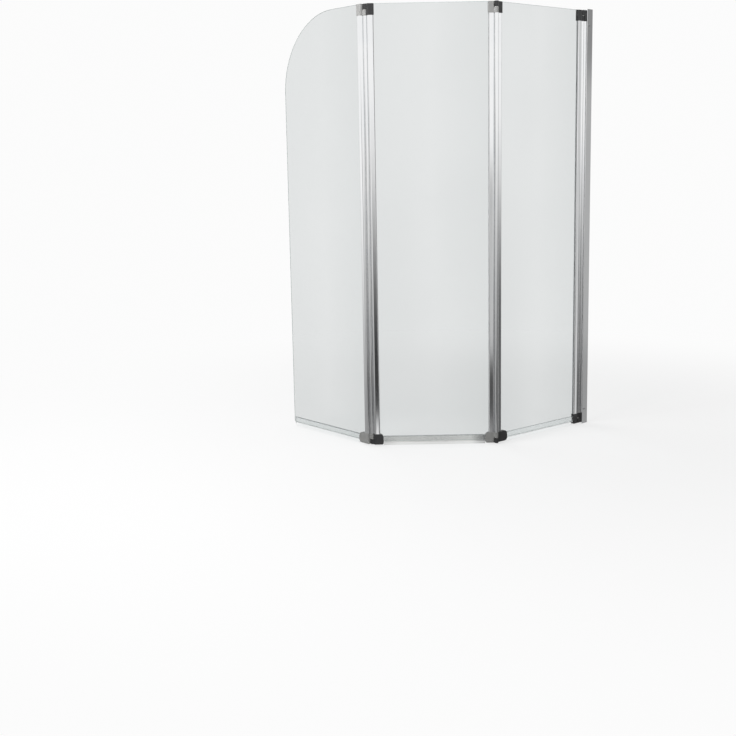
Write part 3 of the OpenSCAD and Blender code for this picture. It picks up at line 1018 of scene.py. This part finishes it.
class ScrewTree:
    """Geometry nodes that set a cross-head screw on every point, its head facing along the point's aim.

    The dome's height is a share of the head's height, and its top and the bars of the cross are shares
    of the head's radius.
    """

    FACETS: int = 40
    DOME_HEIGHT: float = 0.55
    DOME_TOP: float = 0.72
    CROSS_SPAN: float = 1.05

    def __init__(self) -> None:
        """Builds the tree."""
        geometry = {"Geometry": ("Geometry",)}
        sizes = tuple(size.name for size in fields(ScrewSize))
        inputs = {**geometry, "Float": sizes, "Material": ("finish",)}
        self.tree = new_group("Geometry", "screw_set", inputs, geometry)
        nodes = NodeTree(self.tree)
        given = nodes.add("NodeGroupInput").outputs
        screw = self._screw(nodes, given)
        aim = nodes.add("GeometryNodeInputNamedAttribute", {"data_type": "FLOAT_VECTOR"}, Name="aim")
        turned = nodes.add(
            "FunctionNodeAlignRotationToVector", {"axis": "Z"}, Vector=aim.outputs["Attribute"]
        )
        placed = nodes.add(
            "GeometryNodeInstanceOnPoints",
            Points=given["Geometry"],
            Instance=screw,
            Rotation=turned.outputs["Rotation"],
        )
        real = nodes.add("GeometryNodeRealizeInstances", Geometry=placed.outputs["Instances"])
        dressed = nodes.add(
            "GeometryNodeSetMaterial", Geometry=real.outputs["Geometry"], Material=given["finish"]
        )
        nodes.add("NodeGroupOutput", Geometry=dressed.outputs["Geometry"])

    def _drum(
        self, nodes: NodeTree, low_r: Socket, high_r: Socket, height: Socket, lift: Socket | float
    ) -> Socket:
        """Makes a round drum or frustum that stands at a height.

        Args:
            nodes: The tree's nodes.
            low_r: Radius at its foot.
            high_r: Radius at its top.
            height: Its height.
            lift: Height of its foot.

        Returns:
            Its geometry.
        """
        drum = nodes.add(
            "GeometryNodeMeshCone",
            Vertices=self.FACETS,
            Radius_Top=high_r,
            Radius_Bottom=low_r,
            Depth=height,
        )
        offset = nodes.add("ShaderNodeCombineXYZ", Z=lift)
        moved = nodes.add(
            "GeometryNodeTransform", Geometry=drum.outputs["Mesh"], Translation=offset.outputs["Vector"]
        )
        return moved.outputs["Geometry"]

    def _screw(self, nodes: NodeTree, given: bpy.types.NodeOutputs) -> Socket:
        """Makes one screw, with the underside of its head at the origin and its head towards +Z.

        Args:
            nodes: The tree's nodes.
            given: The group's inputs.

        Returns:
            Its geometry.
        """
        head_r, head_h = given["head_radius"], given["head_height"]
        rim_h = nodes.math("MULTIPLY", head_h, 1.0 - self.DOME_HEIGHT)
        dome_h = nodes.math("MULTIPLY", head_h, self.DOME_HEIGHT)
        dome_r = nodes.math("MULTIPLY", head_r, self.DOME_TOP)
        rim = self._drum(nodes, head_r, head_r, rim_h, 0.0)
        dome = self._drum(nodes, head_r, dome_r, dome_h, rim_h)
        union, difference = ({"operation": kind, "solver": "EXACT"} for kind in ("UNION", "DIFFERENCE"))
        head = nodes.add("GeometryNodeMeshBoolean", union)
        nodes.gather(head, "Mesh 2", rim, dome)
        cut = nodes.add("GeometryNodeMeshBoolean", difference, Mesh_1=head.outputs["Mesh"])
        width, depth = given["cross_width"], given["cross_depth"]
        span = nodes.math("MULTIPLY", head_r, self.CROSS_SPAN)
        offset = nodes.add("ShaderNodeCombineXYZ", Z=head_h)
        # Each bar is centred on the head's top, so half of its height cuts in.
        tall = nodes.math("MULTIPLY", depth, 2.0)
        for x, y in ((width, span), (span, width)):
            size = nodes.add("ShaderNodeCombineXYZ", X=x, Y=y, Z=tall)
            bar = nodes.add("GeometryNodeMeshCube", Size=size.outputs["Vector"])
            moved = nodes.add(
                "GeometryNodeTransform", Geometry=bar.outputs["Mesh"], Translation=offset.outputs[0]
            )
            nodes.gather(cut, "Mesh 2", moved.outputs["Geometry"])
        length, shank_r = given["shank_length"], given["shank_radius"]
        down = nodes.math("MULTIPLY", length, -1.0)
        shank = self._drum(nodes, shank_r, shank_r, length, down)
        joined = nodes.add("GeometryNodeJoinGeometry")
        nodes.gather(joined, "Geometry", cut.outputs["Mesh"], shank)
        return joined.outputs["Geometry"]


@dataclass
class ScrewSet:
    """The screws of one CAD node, set by geometry nodes."""

    name: str
    node: str
    body: Body
    size: ScrewSize
    places: list[Aimed]

    def build(self, tree: ScrewTree, finishes: Finishes) -> None:
        """Makes the screws as one plain mesh and puts them in place of their CAD node.

        Args:
            tree: The geometry nodes of a screw.
            finishes: The finishes of the screen.
        """
        points = bpy.data.meshes.new(f"{self.name}_points")
        points.from_pydata([place for place, _ in self.places], [], [])
        aims = points.attributes.new("aim", "FLOAT_VECTOR", "POINT")
        for index, (_, aim) in enumerate(self.places):
            aims.data[index].vector = aim
        carrier = new_piece(f"{self.name}_carrier", points)
        modifier = carrier.modifiers.new("screws", "NODES")
        modifier.node_group = tree.tree
        values = {**asdict(self.size), "finish": finishes.by_slot[Slot.SCREW]}
        for item in tree.tree.interface.items_tree:
            if item.item_type == "SOCKET" and item.in_out == "INPUT" and item.name in values:
                modifier[item.identifier] = values[item.name]
        graph = bpy.context.evaluated_depsgraph_get()
        mesh = bpy.data.meshes.new_from_object(carrier.evaluated_get(graph))
        mesh.name = self.name
        bpy.data.objects.remove(carrier)
        mount_mesh(mesh, self.body, Slot.SCREW, self.node)


# ---------- sub-assemblies ----------


@dataclass
class WallSide:
    """The part that stays on the wall. Profile, post, caps and gaskets keep their CAD solids."""

    layout: ScreenLayout
    lock_inset: float = 52 * MM
    lock_x: float = 18 * MM
    profile_half: float = 10 * MM

    def build(self, tree: ScrewTree, finishes: Finishes) -> None:
        """Makes the screws of the wall side.

        Args:
            tree: The geometry nodes of a screw.
            finishes: The finishes of the screen.
        """
        room = Vector((0.0, -1.0, 0.0))
        locks = [
            (Vector((-self.lock_x, -self.profile_half, z)), room)
            for z in (self.lock_inset, self.layout.height - self.lock_inset)
        ]
        pair = ScrewSet("lock_screw_pair", "lock_screws", Body.WALL_SIDE, LOCK_SCREW, locks)
        pair.build(tree, finishes)
        x = -self.layout.pin_to_wall + self.layout.wall_gap + self.layout.port_x
        caps = self.layout.cap_screw_places(Vector((x, 0.0, 0.0)))
        pair = ScrewSet("post_screw_pair", "post_cap_screws", Body.WALL_SIDE, CAP_SCREW, caps)
        pair.build(tree, finishes)


@dataclass
class Panel:
    """One glass panel. Its stiles, caps, gaskets, bushes and rods keep their CAD solids."""

    layout: ScreenLayout
    number: int
    body: Body

    def build(self, tree: ScrewTree, finishes: Finishes) -> None:
        """Makes the panel's glass, its seal and the screws of its caps.

        Args:
            tree: The geometry nodes of a screw.
            finishes: The finishes of the screen.
        """
        layout, number = self.layout, self.number
        GlassPane(layout, number, self.body).build(finishes)
        BottomSeal(layout, number, self.body).build(finishes)
        to_object = layout.panel_matrix(number)
        places = []
        for run in layout.port_runs(number):
            places += layout.cap_screw_places(to_object @ Vector((run, 0.0, 0.0)))
        name, node = f"cap_screw_set_{number}", f"cap_screws_{number}"
        ScrewSet(name, node, self.body, CAP_SCREW, places).build(tree, finishes)


# ---------- studio ----------


@dataclass(frozen=True)
class SoftLamp:
    """A large soft lamp that faces the middle of the screen, with its power in watts."""

    name: str
    place: Triple
    width: float
    height: float
    power: float


@dataclass(frozen=True)
class Card:
    """A grey card of the studio, which only the metal and the gloss show.

    Attributes:
        azimuth: Bearing of its middle in degrees, from +X towards +Y.
        half_width: Half of its width, in degrees.
        soft: Width of its soft side edges, in degrees.
        top: Height of its top edge, as the sine of the elevation.
        fade: How far above the top edge it fades away.
        tone: Its grey.
    """

    azimuth: float
    half_width: float
    soft: float
    top: float
    fade: float
    tone: float


def grey(level: float) -> Colour:
    """A neutral colour."""
    return (level, level, level, 1.0)


@dataclass
class Studio:
    """Camera, floor, lamps and surroundings, with the lens and the sensor in millimetres."""

    lens: float = 52.058
    sensor_w: float = 36.0
    camera_place: Triple = (-2.94355, -2.28250, 0.91498)
    camera_right: Triple = (0.75842517, -0.65150523, -0.01822657)
    camera_up: Triple = (0.11579152, 0.10716862, 0.98747517)
    camera_reach: Span = (0.05, 100.0)
    shift_y: float = -0.05
    floor_z: float = -1 * MM
    floor_span: float = 60.0
    floor_tones: Span = (0.90, 0.93)
    floor_drift: float = 1.5
    floor_detail: float = 2.0
    shadow_middle: Triple = (-0.4, 0.25, 0.0)
    shadow_fade: Span = (0.7, 2.2)
    shadow_glow: float = 0.7
    backdrop: float = 0.97
    aim: Triple = (-0.45, 0.2, 0.7)
    ambient: float = 0.4
    sky_tone: float = 1.0
    ground_tone: float = 0.34
    dusk: Span = (-0.26, 0.0)
    cards: tuple[Card, ...] = (
        Card(240, 6, 2, -0.03, 0.05, 0.56),
        Card(241, 9, 3, -0.2, 0.035, 0.07),
        Card(222, 9, 3, -0.2, 0.29, 0.04),
        Card(287, 25, 4, -0.16, 0.23, 0.1),
        Card(345, 14, 4, -0.12, 0.28, 0.25),
        Card(316, 2.5, 1.5, 2.0, 1.0, 0.65),
        Card(325, 5, 2, 2.0, 1.0, 0.28),
        Card(325, 5, 2, 0.05, 0.05, 0.46),
        Card(325, 5, 2, -0.2, 0.06, 0.34),
        Card(20, 14, 6, 0.0, 0.1, 0.12),
        Card(75, 8, 5, 2.0, 1.0, 0.55),
        Card(100, 14, 8, -0.05, 0.1, 0.35),
        Card(152, 11, 5, 0.0, 0.1, 0.28),
        Card(229, 5, 3, -0.248, 0.02, 0.85),
    )
    lamps: tuple[SoftLamp, ...] = (
        SoftLamp("key_lamp", (-4.4, 0.3, 2.2), 2.4, 2.4, 150.0),
        SoftLamp("fill_lamp", (-0.8, -4.2, 2.6), 2.6, 2.6, 22.0),
        SoftLamp("back_lamp", (-0.6, 3.8, 3.0), 3.0, 2.4, 60.0),
    )

    def build(self) -> None:
        """Makes the camera, the floor, the lamps and the world."""
        self._camera()
        self._floor()
        for lamp in self.lamps:
            self._lamp(lamp)
        self._world()
        bpy.context.scene.view_settings.view_transform = "Standard"

    def _camera(self) -> None:
        """Puts the camera where the photograph was taken from."""
        data = bpy.data.cameras.new("camera")
        data.lens = self.lens
        data.sensor_width = self.sensor_w
        data.shift_y = self.shift_y
        data.clip_start, data.clip_end = self.camera_reach
        camera = bpy.data.objects.new("camera", data)
        bpy.context.scene.collection.objects.link(camera)
        right, up = Vector(self.camera_right), Vector(self.camera_up)
        turn = Matrix((right, up, right.cross(up))).transposed()
        camera.matrix_world = Matrix.Translation(self.camera_place) @ turn.to_4x4()
        bpy.context.scene.camera = camera

    def _floor(self) -> None:
        """Makes the pale floor, which keeps the screen's shadow."""
        half = self.floor_span / 2
        mesh = bpy.data.meshes.new("floor")
        corners = [(-half, -half), (half, -half), (half, half), (-half, half)]
        mesh.from_pydata([(x, y, self.floor_z) for x, y in corners], [], [(0, 1, 2, 3)])
        material = bpy.data.materials.new("floor_finish")
        material.use_nodes = True
        nodes = NodeTree(material.node_tree)
        place = nodes.add("ShaderNodeTexCoord").outputs["Object"]
        noise = nodes.add(
            "ShaderNodeTexNoise", Vector=place, Scale=self.floor_drift, Detail=self.floor_detail
        )
        tone = nodes.mix(noise.outputs["Fac"], *[grey(level) for level in self.floor_tones])
        matt = nodes.add("ShaderNodeBsdfDiffuse", Color=tone)
        rays = nodes.add("ShaderNodeLightPath").outputs
        seen = nodes.math("MAXIMUM", rays["Is Camera Ray"], rays["Is Transmission Ray"])
        seen = nodes.math("MAXIMUM", seen, rays["Is Glossy Ray"])
        glow = nodes.add("ShaderNodeEmission", Color=grey(1.0), Strength=self.backdrop)
        reach = nodes.add(
            "ShaderNodeVectorMath", {"operation": "DISTANCE"}, in_0=place, in_1=self.shadow_middle
        )
        glowing = nodes.ramp(reach.outputs["Value"], *self.shadow_fade, self.shadow_glow, 1.0)
        share = nodes.math("MULTIPLY", seen, glowing)
        joined = nodes.add("ShaderNodeMixShader", in_0=share, in_1=matt.outputs[0], in_2=glow.outputs[0])
        nodes.add("ShaderNodeOutputMaterial", Surface=joined.outputs[0])
        mesh.materials.append(material)
        floor = new_piece("floor", mesh)
        floor.visible_glossy = False

    def _lamp(self, lamp: SoftLamp) -> None:
        """Hangs a soft lamp.

        Args:
            lamp: Its place, size and power.
        """
        data = bpy.data.lights.new(lamp.name, "AREA")
        data.shape = "RECTANGLE"
        data.size, data.size_y = lamp.width, lamp.height
        data.energy = lamp.power
        light = bpy.data.objects.new(lamp.name, data)
        bpy.context.scene.collection.objects.link(light)
        towards = Vector(self.aim) - Vector(lamp.place)
        light.location = lamp.place
        light.rotation_euler = towards.to_track_quat("-Z", "Y").to_euler()
        light.visible_glossy = False
        light.visible_camera = False
        light.visible_transmission = False

    def _world(self) -> None:
        """Surrounds the screen with white, and gives the metal a studio that darkens downwards."""
        world = bpy.data.worlds.new("studio")
        bpy.context.scene.world = world
        world.use_nodes = True
        nodes = NodeTree(world.node_tree)
        aim = nodes.add("ShaderNodeTexCoord").outputs["Generated"]
        way = nodes.add("ShaderNodeSeparateXYZ", Vector=aim)
        bearing = nodes.math("ARCTAN2", way.outputs["Y"], way.outputs["X"])
        rise = nodes.ramp(way.outputs["Z"], *self.dusk, 0.0, 1.0)
        mirrored = nodes.mix(rise, grey(self.ground_tone), grey(self.sky_tone))
        for card in self.cards:
            turn = nodes.math("SUBTRACT", bearing, math.radians(card.azimuth))
            away = nodes.math("ABSOLUTE", nodes.math("WRAP", turn, math.pi, -math.pi))
            half, soft = math.radians(card.half_width), math.radians(card.soft)
            inside = nodes.ramp(away, half, half + soft, 1.0, 0.0)
            under = nodes.ramp(way.outputs["Z"], card.top, card.top + card.fade, 1.0, 0.0)
            mirrored = nodes.mix(nodes.math("MULTIPLY", inside, under), mirrored, grey(card.tone))
        rays = nodes.add("ShaderNodeLightPath").outputs
        seen = nodes.math("MAXIMUM", rays["Is Camera Ray"], rays["Is Transmission Ray"])
        around = nodes.mix(rays["Is Glossy Ray"], grey(self.ambient), mirrored)
        colour = nodes.mix(seen, around, grey(self.backdrop))
        sky = nodes.add("ShaderNodeBackground", Color=colour, Strength=1.0)
        nodes.add("ShaderNodeOutputWorld", Surface=sky.outputs[0])


def main() -> None:
    """Builds the studio and the screen."""
    logging.basicConfig(level=logging.INFO, format="%(name)s: %(message)s")
    layout = ScreenLayout()
    Studio().build()
    finishes = Finishes()
    finishes.dress_nodes()
    tree = ScrewTree()
    WallSide(layout).build(tree, finishes)
    for number, body in enumerate((Body.WALL_PANEL, Body.MIDDLE_PANEL, Body.END_PANEL), 1):
        Panel(layout, number, body).build(tree, finishes)


if __name__ == "__main__":
    main()
